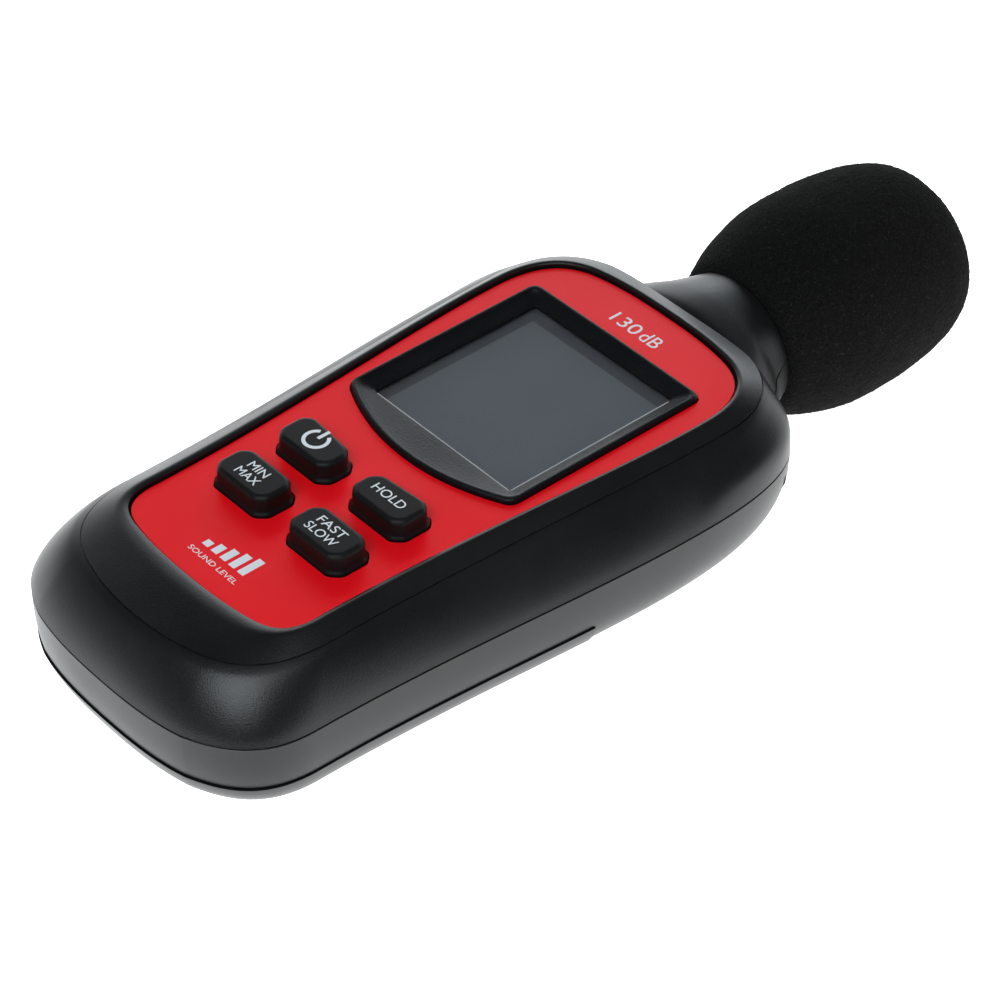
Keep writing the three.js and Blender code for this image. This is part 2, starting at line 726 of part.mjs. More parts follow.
function batteryParts() {
  const parts = [];
  for (let index = 0; index < 3; index++) {
    const way = index === 1 ? -1 : 1;
    parts.push(meshOf('battery_cell_' + (index + 1), cell(index), 'cell'));
    parts.push(meshOf('contact_flat_' + (index + 1), contactPlate(index, way), 'metal'));
    parts.push(meshOf('contact_base_' + (index + 1), contactPlate(index, -way), 'metal'));
    parts.push(meshOf('contact_spring_' + (index + 1), contactSpring(index), 'metal'));
  }
  return parts;
}

// ---------------------------------------------------------------- screws
function screw({ x, y, head, tip }) {
  const top = head + 2.2 - GAP;
  const headPart = upright(1.9, x, y, [top - 1.5, top], 16);
  const shank = upright(1.05, x, y, [top - 0.1, tip], 12);
  const slot = block([x - 1.2, x + 1.2], [y - 0.25, y + 0.25], [top - 2, top - 0.9]);
  const cross = block([x - 0.25, x + 0.25], [y - 1.2, y + 1.2], [top - 2, top - 0.9]);
  return headPart.add(shank).subtract(slot).subtract(cross);
}

// ---------------------------------------------------------------- the assembly
const meter = new THREE.Group();
meter.add(meshOf('front_shell', frontShell(), 'housing'));
meter.add(meshOf('rear_shell', rearShell(), 'housing_rear'));
meter.add(meshOf('battery_cover', batteryCover(), 'housing_rear'));
meter.add(meshOf('front_panel', frontPanel(), 'panel'));
meter.add(meshOf('display_bezel', bezel(), 'bezel'));
meter.add(...displayParts());
meter.add(...keyParts());
meter.add(...boardParts());
meter.add(...micParts());
meter.add(meshOf('windscreen', windscreen(), 'foam'));
meter.add(...batteryParts());
screwPlaces().forEach((place, i) => {
  meter.add(meshOf('case_screw_' + (i + 1), screw(place), 'metal'));
});

export default meter;
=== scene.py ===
import math

import bmesh
import bpy
from mathutils import Matrix, Vector, noise


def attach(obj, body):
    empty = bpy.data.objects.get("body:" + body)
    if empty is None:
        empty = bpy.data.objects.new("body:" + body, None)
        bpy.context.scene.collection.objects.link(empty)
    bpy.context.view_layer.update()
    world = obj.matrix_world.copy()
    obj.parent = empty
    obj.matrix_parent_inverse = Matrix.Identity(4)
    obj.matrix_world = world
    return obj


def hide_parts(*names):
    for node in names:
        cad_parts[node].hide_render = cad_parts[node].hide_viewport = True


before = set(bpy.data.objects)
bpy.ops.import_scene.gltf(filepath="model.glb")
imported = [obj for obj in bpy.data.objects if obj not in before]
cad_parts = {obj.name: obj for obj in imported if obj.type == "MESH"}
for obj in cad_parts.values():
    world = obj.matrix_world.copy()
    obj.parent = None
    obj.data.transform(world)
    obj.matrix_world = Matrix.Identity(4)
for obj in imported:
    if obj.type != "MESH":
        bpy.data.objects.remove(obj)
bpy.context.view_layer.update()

MM = 0.001

# ---------------------------------------------------------------- driving dimensions
HALF_WIDTH = 30.1
TOP_Y = 33
TAIL_Y = -70
PANEL_Z = 21.4
PARTING_Z = 12.6
DOOR_Z = 5.4
DOOR_TOP_Y = -10
GAP = 0.3
SEAM = 0.2
SEAM_EDGE = 0.07

# Cutting blocks that have to pass the whole part span this much across and along it, and start behind
# the tail; other cutters reach a little past what they cut.
EVERYWHERE = (-60, 60)
BEHIND_TAIL_Y = -90
PAST = 1

RIM_Z = PANEL_Z + 0.7
RECESS_Z = PANEL_Z - 0.8
PANEL_FOOT_Z = PANEL_Z - 0.5
CEILING_Z = RECESS_Z - 1.6
GROOVE_Z = PANEL_Z - 0.5
GROOVE_HALF = 0.08
LIP_Z = GROOVE_Z - 0.35
WALL = 1.8
FLANK_POWER = 1.3
HEAD_SHOULDER = 0.5
HEAD_Y = (14, 29)
RIM_HEAD_Y = (16, 28)
RIM_POWER = 1.1
RIM_CROWN = 0.75
RIM_CROWN_SHIFT = 0.1
RIM_INNER_DROP = 0.22
RIM_EDGE_STEP = 0.1
RIM_EDGE_RISE = 0.15
GROOVE_DEPTH = 0.12
GROOVE_FALL = 0.2
BACK_ROUND = 8.4
BACK_POWER = 3.2
HEAD_BACK_ROUND = 6.1
HEAD_BACK_POWER = 2.1
HEAD_BACK_Y = (0, 28)

BEZEL_Z = PANEL_Z + 0.8
LENS_TOP_Z = PANEL_Z - 1.05
LENS_FOOT_Z = LENS_TOP_Z - 1.2

KEY_TOP_Z = PANEL_Z + 3.1
KEY_FOOT_Z = 16.9
MAT_FOOT_Z = 17.9
SKIRT = 0.35
KEY_GAP = 0.3
KEYS = {
    "power": {"x": -7.7, "y": -27.6, "width": 10.6, "depth": 6.3, "tilt": -0.9},
    "hold": {"x": 7.7, "y": -27.6, "width": 10.6, "depth": 6.3, "tilt": 0.9},
    "min_max": {"x": -7.7, "y": -38.1, "width": 10.6, "depth": 6.2, "tilt": 0},
    "fast_slow": {"x": 7.7, "y": -38.1, "width": 10.6, "depth": 6.2, "tilt": 0},
}

MIC_Z = 9.6
NECK_END_Y = 42
TUBE_RADIUS = 6.35
TUBE_END_Y = 62.8
BORE_RADIUS = TUBE_RADIUS + 0.35
SEAT_RADIUS = 8.1
SEAT_Y = 38.1
COLLAR_RADIUS = 7.7
COLLAR_Y = (22, 30.2)
NECK_TIP_Y = NECK_END_Y + 1.2
FOAM_START_Y = NECK_TIP_Y + GAP
FOAM_END_Y = 82.1

CELL_RADIUS = 5.15
CELL_LENGTH = 44.5
CELL_PITCH = 10.9
CELL_Z = 6.55
BAY_Y = -38.3
BAY_HALF_LENGTH = 25.1
BAY_HALF_WIDTH = 16.5
BAY_WALL = 1.2
BAY_FOOT_Z = 2.4
BAY_CEILING_Z = 12
COVER_PROUD = 0.3
COVER_WALL = 1.1
SCREW_SHANK_RADIUS = 1.35
SCREW_SINK_RADIUS = 2.2
SCREW_SINK_DEPTH = 2.2

UPPER_SCREWS = {"x": 17.4, "y": 24.4, "radius": 3.1, "head": 1.2}
LOWER_SCREWS = {"x": 21.1, "y": -55, "radius": 2.3, "head": DOOR_Z + 1}


# ---------------------------------------------------------------- outlines
# Each outline is its right half, from the top middle to the bottom middle, as five Bezier stretches, so
# that any two outlines match point for point.
STRETCH_POINTS = (14, 26, 36, 26, 14)

BODY_HALF = [
    [(0, TOP_Y), (6, TOP_Y), (12, 32.8), (18, 32.2)],
    [(18, 32.2), (25.4, 31.8), (HALF_WIDTH, 27.2), (HALF_WIDTH, 10)],
    [(HALF_WIDTH, 10), (HALF_WIDTH, -10), (26.3, -30), (25.9, -55)],
    [(25.9, -55), (25.7, -62.8), (21.7, -66.2), (15.4, -68.5)],
    [(15.4, -68.5), (10.6, -69.8), (5, TAIL_Y), (0, TAIL_Y)],
]
GROOVE_HALF_PATH = [
    [(0, 32.4), (5, 32.4), (10, 32.6), (14, 31.9)],
    [(14, 31.9), (19.8, 30.5), (23.7, 26), (23.75, 18.5)],
    [(23.75, 18.5), (23.95, 2), (21, -22), (21.1, -48.5)],
    [(21.1, -48.5), (20.9, -56), (18.2, -59.9), (13.3, -61.9)],
    [(13.3, -61.9), (9, -63.5), (4.5, -64.1), (0, -64.1)],
]
PANEL_HALF = [
    [(0, 28.9), (5, 28.9), (9.5, 28.7), (13.6, 27.7)],
    [(13.6, 27.7), (18, 26.5), (20.5, 23.5), (20.8, 17)],
    [(20.8, 17), (21.2, 2), (17.2, -24), (17.3, -48)],
    [(17.3, -48), (17.2, -51.6), (15.6, -53.2), (12.4, -53.9)],
    [(12.4, -53.9), (8.5, -54.7), (4, -54.9), (0, -54.9)],
]
BEZEL_HALF = [
    [(0, 19.9), (15.5, 19.8)],
    [(15.5, 19.8), (17.1, 19.8), (17.1, 18.3)],
    [(17.1, 18.3), (17.1, -13)],
    [(17.1, -13), (17.1, -14.5), (15.7, -15.1)],
    [(15.7, -15.1), (8, -18.8), (0, -18.8)],
]
LENS_HALF = [
    [(0, 17.1), (13.5, 17.1)],
    [(13.5, 17.1), (14.06, 17.1), (14.06, 16.6)],
    [(14.06, 16.6), (14.06, -11.8)],
    [(14.06, -11.8), (14.06, -12.3), (13.5, -12.3)],
    [(13.5, -12.3), (0, -12.3)],
]


def bezier(controls, t):
    points = [Vector(p) for p in controls]
    while len(points) > 1:
        points = [a.lerp(b, t) for a, b in zip(points, points[1:])]
    return points[0]


def evenly(controls, count):
    """Points along a Bezier stretch, evenly spaced by length, without its end point."""
    fine = [bezier(controls, i / 200) for i in range(201)]
    travelled = [0]
    for a, b in zip(fine, fine[1:]):
        travelled.append(travelled[-1] + (b - a).length)
    points = []
    at = 0
    for i in range(count):
        wanted = travelled[-1] * i / count
        while travelled[at + 1] < wanted:
            at += 1
        share = (wanted - travelled[at]) / (travelled[at + 1] - travelled[at])
        points.append(fine[at].lerp(fine[at + 1], share))
    return points


def outline(half):
    right = []
    for controls, count in zip(half, STRETCH_POINTS):
        right += evenly(controls, count)
    bottom = Vector(half[-1][-1])
    left = [Vector((-p.x, p.y)) for p in right[1:]]
    return [*left, bottom, *reversed(right)]


def mixed(a, b, share):
    return [p.lerp(q, share) for p, q in zip(a, b)]


def drawn_in(points, distance):
    xs = [p.x for p in points]
    ys = [p.y for p in points]
    width = max(xs) - min(xs)
    height = max(ys) - min(ys)
    middle = Vector(((max(xs) + min(xs)) / 2, (max(ys) + min(ys)) / 2))
    grow = Vector((1 - 2 * distance / width, 1 - 2 * distance / height))
    return [middle + (p - middle) * grow for p in points]


BODY = outline(BODY_HALF)
GROOVE = outline(GROOVE_HALF_PATH)
PANEL = outline(PANEL_HALF)
BEZEL = outline(BEZEL_HALF)
LIP = drawn_in(GROOVE, -GROOVE_HALF - 0.05)
LENS = outline(LENS_HALF)


def smoothstep(value, low, high):
    share = min(1, max(0, (value - low) / (high - low)))
    return share * share * (3 - 2 * share)


def catmull_rom(t, before, start, end, after):
    slope = (end - before) * t
    bend = (2 * before - 5 * start + 4 * end - after) * t**2
    twist = (3 * start - before - 3 * end + after) * t**3
    return 0.5 * (2 * start + slope + bend + twist)


def curve_through(rows, steps):
    """A smooth curve through rows of numbers: Catmull-Rom with its end rows repeated."""
    padded = [rows[0], *rows, rows[-1]]
    made = []
    for a, b, c, d in zip(padded, padded[1:], padded[2:], padded[3:]):
        for i in range(steps):
            t = i / steps
            made.append([catmull_rom(t, *values) for values in zip(a, b, c, d)])
    made.append(list(rows[-1]))
    return made


def rounded_corners(corners, reach, steps):
    points = []
    for i, corner in enumerate(corners):
        here = Vector(corner)
        before = Vector(corners[i - 1]) - here
        after = Vector(corners[(i + 1) % len(corners)]) - here
        start = here + before.normalized() * reach
        end = here + after.normalized() * reach
        points += [bezier([start, here, end], j / steps) for j in range(steps + 1)]
    return points


def rectangle(x0, x1, y0, y1, reach, steps=6):
    return rounded_corners([(x0, y0), (x1, y0), (x1, y1), (x0, y1)], reach, steps)


# ---------------------------------------------------------------- meshes
def object_of(name, bm):
    bmesh.ops.recalc_face_normals(bm, faces=bm.faces)
    mesh = bpy.data.meshes.new(name)
    bm.to_mesh(mesh)
    bm.free()
    made = bpy.data.objects.new(name, mesh)
    bpy.context.collection.objects.link(made)
    return made


def skin(name, rings, joined=False):
    """A closed skin through rings of equal point counts, each a list of points in millimetres."""
    bm = bmesh.new()
    rows = [[bm.verts.new(Vector(p) * MM) for p in ring] for ring in rings]
    pairs = list(zip(rows, rows[1:]))
    if joined:
        pairs.append((rows[-1], rows[0]))
    for low, high in pairs:
        for i in range(len(low)):
            bm.faces.new((low[i - 1], low[i], high[i], high[i - 1]))
    if not joined:
        bm.faces.new(rows[0])
        bm.faces.new(rows[-1])
    return object_of(name, bm)


def level(points, z):
    return [(p.x, p.y, z) for p in points]


def loft(name, rings, joined=False):
    """A skin through flat outlines, each given as (outline, z)."""
    return skin(name, [level(points, z) for points, z in rings], joined)


def plate(name, points, z0, z1):
    return loft(name, [(points, z0), (points, z1)])


def block(name, x, y, z):
    return plate(name, [Vector(p) for p in ((x[0], y[0]), (x[1], y[0]), (x[1], y[1]), (x[0], y[1]))], *z)


def upright(name, radius, x, y, z, sides=32):
    ring = [
        Vector((x + radius * math.cos(math.tau * i / sides), y + radius * math.sin(math.tau * i / sides)))
        for i in range(sides)
    ]
    return plate(name, ring, *z)


def turned(name, profile, sides=64, x=0, z=MIC_Z):
    """A solid of revolution round an axis along Y; the profile is [radius, y] and starts and ends at 0."""
    bm = bmesh.new()
    rows = []
    for radius, y in profile:
        if radius < 1e-6:
            rows.append([bm.verts.new(Vector((x, y, z)) * MM)])
            continue
        turns = [math.tau * i / sides for i in range(sides)]
        rows.append([
            bm.verts.new(Vector((x + radius * math.cos(a), y, z + radius * math.sin(a))) * MM) for a in turns
        ])
    for low, high in zip(rows, rows[1:]):
        for i in range(sides):
            corners = [low[i % len(low)], low[(i + 1) % len(low)]]
            corners += [high[(i + 1) % len(high)], high[i % len(high)]]
            bm.faces.new(dict.fromkeys(corners))
    return object_of(name, bm)


def remove(obj):
    bpy.data.objects.remove(obj, do_unlink=True)


def settle(obj):
    """Applies an object's modifiers to its mesh."""
    graph = bpy.context.evaluated_depsgraph_get()
    mesh = bpy.data.meshes.new_from_object(obj.evaluated_get(graph))
    obj.modifiers.clear()
    obj.data = mesh
    return obj


def together(*objs):
    """One object from several that don't touch."""
    bm = bmesh.new()
    for obj in objs:
        bm.from_mesh(obj.data)
    made = object_of(objs[0].name, bm)
    for obj in objs:
        remove(obj)
    return made


def combined(obj, other, operation, crossing=False):
    """Combines two solids; crossing allows for skins that touch themselves."""
    step = obj.modifiers.new(operation, "BOOLEAN")
    step.operation = operation
    step.solver = "EXACT"
    step.use_self = crossing
    step.object = other
    settle(obj)
    remove(other)
    return obj


def cut(obj, other):
    return combined(obj, other, "DIFFERENCE")


def joined_with(obj, other):
    return combined(obj, other, "UNION")


def kept_inside(obj, other):
    return combined(obj, other, "INTERSECT")


def smoothed(obj, sharp_degrees=30):
    obj.data.shade_smooth()
    obj.data.set_sharp_from_angle(angle=math.radians(sharp_degrees))
    weighted = obj.modifiers.new("even_normals", "WEIGHTED_NORMAL")
    weighted.keep_sharp = True
    return obj


def finished(obj, look, body, slot, *nodes):
    """Gives a piece its material and its body, and hides the CAD nodes it stands for. The slot is not used."""
    obj.data.materials.clear()
    obj.data.materials.append(look)
    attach(obj, body)
    if nodes:
        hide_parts(*nodes)
    return obj


# ---------------------------------------------------------------- materials
def node(tree, kind, **values):
    made = tree.nodes.new(kind)
    for key, value in values.items():
        made.inputs[key.replace("_", " ")].default_value = value
    return made


def base_material(name, colour, roughness, metallic=0.0):
    material = bpy.data.materials.new(name)
    material.use_nodes = True
    shader = material.node_tree.nodes["Principled BSDF"]
    shader.inputs["Base Color"].default_value = (*colour, 1)
    shader.inputs["Roughness"].default_value = roughness
    shader.inputs["Metallic"].default_value = metallic
    return material, material.node_tree, shader


def place_in(tree):
    return node(tree, "ShaderNodeTexCoord").outputs["Object"]


def noise_of(tree, size_mm, detail=2.0, roughness=0.55):
    texture = node(tree, "ShaderNodeTexNoise", Scale=1 / (size_mm * MM), Detail=detail, Roughness=roughness)
    tree.links.new(place_in(tree), texture.inputs["Vector"])
    return texture.outputs["Fac"]


def spread(tree, value, low, high, start=0.3, end=0.7):
    """Maps a texture's middle range to low..high."""
    ranged = node(tree, "ShaderNodeMapRange", From_Min=start, From_Max=end, To_Min=low, To_Max=high)
    tree.links.new(value, ranged.inputs["Value"])
    return ranged.outputs["Result"]


def blended(tree, share, first, second):
    """Mixes two colours; the first may also be another node's output."""
    mix = tree.nodes.new("ShaderNodeMix")
    mix.data_type = "RGBA"
    factor, colour_a, colour_b = mix.inputs[0], mix.inputs[6], mix.inputs[7]
    if isinstance(first, tuple):
        colour_a.default_value = (*first, 1)
    else:
        tree.links.new(first, colour_a)
    colour_b.default_value = (*second, 1)
    tree.links.new(share, factor)
    return mix.outputs[2]


def bumped(tree, shader, height, depth_mm):
    bump = node(tree, "ShaderNodeBump", Strength=1.0, Distance=depth_mm * MM)
    tree.links.new(height, bump.inputs["Height"])
    tree.links.new(bump.outputs["Normal"], shader.inputs["Normal"])


def moulded(name, dark, light, roughness, grain_mm, grain_depth_mm, specular=0.5):
    """Moulded plastic or rubber: a fine grain, and slow changes of tone and gloss."""
    material, tree, shader = base_material(name, dark, roughness)
    slow = noise_of(tree, 14, 3)
    tree.links.new(blended(tree, slow, dark, light), shader.inputs["Base Color"])
    fine = noise_of(tree, grain_mm, 2, 0.6)
    tree.links.new(spread(tree, slow, roughness - 0.03, roughness + 0.04), shader.inputs["Roughness"])
    shader.inputs["Specular IOR Level"].default_value = specular
    bumped(tree, shader, fine, grain_depth_mm)
    return material


def housing_plastic():
    dark, light = (0.0042, 0.0046, 0.005), (0.0056, 0.0062, 0.0068)
    return moulded("housing_plastic", dark, light, 0.34, 0.22, 0.026, 0.4)


def rear_plastic():
    return moulded("rear_plastic", (0.0052, 0.0056, 0.006), (0.007, 0.0075, 0.008), 0.34, 0.22, 0.018, 0.4)


def panel_red():
    return moulded("panel_red", (0.85, 0.0038, 0.0092), (0.89, 0.0052, 0.0118), 0.32, 0.1, 0.003, 0.24)


def bezel_plastic():
    return moulded("bezel_plastic", (0.0028, 0.0033, 0.0046), (0.004, 0.0047, 0.0062), 0.38, 0.3, 0.07, 0.15)


def key_rubber():
    dark, light = (0.0048, 0.0048, 0.005), (0.0062, 0.0062, 0.0064)
    return moulded("key_rubber", dark, light, 0.46, 0.12, 0.008, 0.15)


# A pale grey look for a painted highlight: the glint of light along the window's edge.
def painted_edge_highlight():
    return moulded("painted_edge_highlight", (0.42, 0.44, 0.47), (0.5, 0.52, 0.55), 0.3, 0.2, 0.01)


def white_ink():
    return moulded("white_ink", (0.74, 0.77, 0.82), (0.8, 0.83, 0.87), 0.5, 0.15, 0.003)


def foam_cells():
    material, tree, shader = base_material("foam_cells", (0.006, 0.006, 0.006), 0.95)
    cells = noise_of(tree, 0.22, 2, 0.7)
    walls = spread(tree, cells, 0, 1, 0.35, 0.75)
    tone = blended(tree, walls, (0.0022, 0.0022, 0.0022), (0.0115, 0.0112, 0.0108))
    specks = spread(tree, noise_of(tree, 0.4, 3, 0.7), 0, 1, 0.6, 0.74)
    tree.links.new(blended(tree, specks, tone, (0.034, 0.033, 0.032)), shader.inputs["Base Color"])
    shader.inputs["Specular IOR Level"].default_value = 0.08
    bumped(tree, shader, cells, 0.12)
    return material


def window_plastic():
    material, tree, shader = base_material("window_plastic", (0.8, 0.82, 0.84), 0.06)
    shader.inputs["Transmission Weight"].default_value = 0.96
    shader.inputs["IOR"].default_value = 1.49
    tree.links.new(spread(tree, noise_of(tree, 9), 0.05, 0.1), shader.inputs["Roughness"])
    return material


def display_layer(name, colour, tint):
    material, tree, shader = base_material(name, colour, 0.3)
    tree.links.new(blended(tree, noise_of(tree, 11, 3), colour, tint), shader.inputs["Base Color"])
    bumped(tree, shader, noise_of(tree, 0.2), 0.002)
    return material


def metal(name, colour, roughness, along=(1, 1, 1)):
    """Metal with a fine grain, drawn out along the axis that has the smallest number in along."""
    material, tree, shader = base_material(name, colour, roughness, 1.0)
    mapping = node(tree, "ShaderNodeMapping", Scale=along)
    tree.links.new(place_in(tree), mapping.inputs["Vector"])
    lines = node(tree, "ShaderNodeTexNoise", Scale=1 / (0.25 * MM), Detail=3.0)
    tree.links.new(mapping.outputs["Vector"], lines.inputs["Vector"])
    shine = spread(tree, lines.outputs["Fac"], roughness - 0.06, roughness + 0.1)
    tree.links.new(shine, shader.inputs["Roughness"])
    bumped(tree, shader, lines.outputs["Fac"], 0.004)
    return material


def gauze():
    material, tree, shader = base_material("mic_gauze_mesh", (0.03, 0.03, 0.032), 0.5, 0.6)
    cells = node(tree, "ShaderNodeTexVoronoi", Scale=1 / (0.3 * MM), Randomness=0.1)
    tree.links.new(place_in(tree), cells.inputs["Vector"])
    holes = spread(tree, cells.outputs["Distance"], 0, 1, 0.3, 0.5)
    tree.links.new(blended(tree, holes, (0.01, 0.01, 0.01), (0.2, 0.2, 0.21)), shader.inputs["Base Color"])
    bumped(tree, shader, holes, 0.1)
    return material


def cell_wrapper():
    """A plain dark blue battery sleeve."""
    material, tree, shader = base_material("cell_wrapper", (0.02, 0.022, 0.026), 0.3)
    tree.links.new(
        blended(tree, noise_of(tree, 6, 2), (0.016, 0.03, 0.07), (0.024, 0.04, 0.085)),
        shader.inputs["Base Color"],
    )
    shader.inputs["Coat Weight"].default_value = 0.5
    bumped(tree, shader, noise_of(tree, 0.8), 0.01)
    return material


def circuit_board():
    material, tree, shader = base_material("circuit_board", (0.01, 0.09, 0.03), 0.35)
    tracks = node(tree, "ShaderNodeTexVoronoi", Scale=1 / (2.2 * MM), Randomness=0.7)
    tracks.distance = "MANHATTAN"
    tree.links.new(place_in(tree), tracks.inputs["Vector"])
    edges = spread(tree, tracks.outputs["Distance"], 0, 1, 0.35, 0.4)
    green = blended(tree, edges, (0.008, 0.075, 0.025), (0.014, 0.13, 0.045))
    tree.links.new(green, shader.inputs["Base Color"])
    bumped(tree, shader, edges, 0.03)
    return material


# ---------------------------------------------------------------- front housing
def flank(share):
    """The front housing's flank between the groove's lip at share 0 and the parting line at share 1."""
    slope = (1 - (1 - share) ** FLANK_POWER) ** (1 / FLANK_POWER)
    rise = share / HEAD_SHOULDER
    shoulder = rise / (1 + rise**6) ** (1 / 6)
    points = []
    for inner, outer in zip(LIP, BODY):
        head = smoothstep(inner.y, *HEAD_Y)
        points.append(inner.lerp(outer, slope + (shoulder - slope) * head))
    return points


def flank_rings(bottom, steps=18):
    rings = [(drawn_in(flank(1), SEAM_EDGE), bottom)]
    for i in range(steps):
        share = 1 - i / steps
        rings.append((flank(share), max(LIP_Z + (PARTING_Z - LIP_Z) * share, bottom + SEAM_EDGE)))
    rings.append((drawn_in(GROOVE, -GROOVE_HALF), LIP_Z - 0.04))
    return rings


def rim_height(share, y):
    """The rim's height, from its outer edge at share 0 over its crown to the panel at share 1."""
    head = smoothstep(y, *RIM_HEAD_Y)
    crown = RIM_CROWN + RIM_CROWN_SHIFT * head
    edge_z = LIP_Z + RIM_EDGE_STEP + RIM_EDGE_RISE * head
    if share > crown:
        return RIM_Z - RIM_INNER_DROP * ((share - crown) / (1 - crown)) ** 3
    return edge_z + (RIM_Z - edge_z) * (1 - (1 - share / crown) ** RIM_POWER)


def groove_foot(y):
    return LIP_Z - GROOVE_DEPTH - GROOVE_FALL * smoothstep(y, *RIM_HEAD_Y)


def rim_rings(steps=18):
    """The groove, deepest at the head, and the rim, as rings of points."""
    start = drawn_in(GROOVE, GROOVE_HALF)
    end = drawn_in(PANEL, -GAP)
    rings = []
    for edge in (drawn_in(GROOVE, -GROOVE_HALF), start):
        rings.append([(p.x, p.y, groove_foot(p.y)) for p in edge])
    for i in range(steps + 1):
        share = i / steps
        rings.append([(p.x, p.y, rim_height(share, p.y)) for p in mixed(start, end, share)])
    rings.append(level(end, RECESS_Z))
    return rings


# The neck's oval sections as [y, half width, height over the axis].
NECK = [
    [27, 27, 10],
    [29.5, 25, 10],
    [31.5, 22, 10],
    [33, 19.6, 10.2],
    [34.3, 17.7, 10.6],
    [36.8, 15.4, 10.8],
    [39, 13.4, 10.8],
    [NECK_TIP_Y, 11.1, 10.6],
]


def neck(name, z0, z1, sides=128):
    """The part of the neck between two heights."""
    rings = []
    for y, half_width, height in curve_through(NECK, 5):
        ring = []
        for i in range(sides):
            angle = math.tau * i / sides
            rise = height if math.sin(angle) > 0 else MIC_Z
            ring.append((half_width * math.cos(angle), y, min(z1, max(z0, MIC_Z + rise * math.sin(angle)))))
        rings.append(ring)
    return skin(name, rings)


def bored(shell):
    """Cuts the microphone's bore, with room for its collar and a seat at the neck's end."""
    start, end = COLLAR_Y
    past_neck = NECK_END_Y + 3
    profile = [[0, start], [COLLAR_RADIUS, start], [COLLAR_RADIUS, end], [BORE_RADIUS, end]]
    profile += [[BORE_RADIUS, SEAT_Y], [SEAT_RADIUS, SEAT_Y], [SEAT_RADIUS, past_neck], [0, past_neck]]
    return cut(shell, turned("bore", profile))


def screw_places():
    places = []
    for side in (-1, 1):
        places.append({**UPPER_SCREWS, "x": side * UPPER_SCREWS["x"]})
        places.append({**LOWER_SCREWS, "x": side * LOWER_SCREWS["x"]})
    return places


def key_outline(key, grow=0.0, reach=0.62, steps=5):
    """A key's eight-sided outline; its tilt lowers one end of the edge towards the display."""
    w = key["width"] / 2 + grow
    d = key["depth"] / 2 + grow
    corner = 1.3 + grow * 0.4
    left = d - max(key["tilt"], 0)
    right = d + min(key["tilt"], 0)
    slope = (right - left) / (2 * w)
    corners = [
        (-w, -d + corner),
        (-w + corner, -d),
        (w - corner, -d),
        (w, -d + corner),
        (w, right - corner),
        (w - corner, right - slope * corner),
        (-w + corner, left + slope * corner),
        (-w, left - corner),
    ]
    place = Vector((key["x"], key["y"]))
    return [place + p for p in rounded_corners(corners, reach, steps)]


def front_housing(look):
    bottom = PARTING_Z + SEAM / 2
    rings = [level(points, z) for points, z in flank_rings(bottom)]
    shell = skin("housing_front", [*rings, *rim_rings()])
    combined(shell, neck("neck_top", bottom, EVERYWHERE[1]), "UNION", crossing=True)
    middle = 0.6
    ceiling_share = (LIP_Z - CEILING_Z) / (LIP_Z - PARTING_Z)
    cavity = loft("cavity", [
        (drawn_in(BODY, WALL), bottom - PAST),
        (drawn_in(BODY, WALL), bottom),
        (drawn_in(flank(middle), WALL), LIP_Z + (PARTING_Z - LIP_Z) * middle),
        (drawn_in(flank(ceiling_share), WALL), CEILING_Z),
    ])
    cut(shell, cavity)
    bored(shell)
    reach = 5
    openings = [drawn_in(LENS, -1.3)] + [key_outline(key, SKIRT + KEY_GAP) for key in KEYS.values()]
    cut(shell, together(*[plate("opening", points, RECESS_Z - reach, PANEL_Z + reach) for points in openings]))
    return finished(smoothed(shell), look, "housing", "housing", "front_shell")


# ---------------------------------------------------------------- rear housing and battery cover
def rear_inset(z, round, power):
    fall = (PARTING_Z - z) / PARTING_Z
    return round * (1 - (1 - fall**power) ** (1 / power))


def rear_outline(z, extra):
    usual = drawn_in(BODY, rear_inset(z, BACK_ROUND, BACK_POWER) + extra)
    head = drawn_in(BODY, rear_inset(z, HEAD_BACK_ROUND, HEAD_BACK_POWER) + extra)
    return [a.lerp(b, smoothstep(a.y, *HEAD_BACK_Y)) for a, b in zip(usual, head)]


def rear_rings(extra=0.0, lift=0.0, steps=22):
    """Rings up the rear housing's outside, from its flat back round to the parting line."""
    top = PARTING_Z - SEAM / 2
    rings = []
    for i in range(steps + 1):
        z = (top - SEAM_EDGE) * (1 - math.cos(math.pi / 2 * i / steps))
        rings.append((rear_outline(z, extra), z + lift))
    rings.append((rear_outline(top, extra + SEAM_EDGE), top + lift))
    return rings


def bay(name, grow, z0, z1):
    half_width = BAY_HALF_WIDTH + grow
    half_length = BAY_HALF_LENGTH + grow
    return block(name, (-half_width, half_width), (BAY_Y - half_length, BAY_Y + half_length), (z0, z1))


def door_inside(gap):
    return loft("door_inside", rear_rings(COVER_WALL + 0.2 - COVER_PROUD + gap, COVER_WALL + gap))


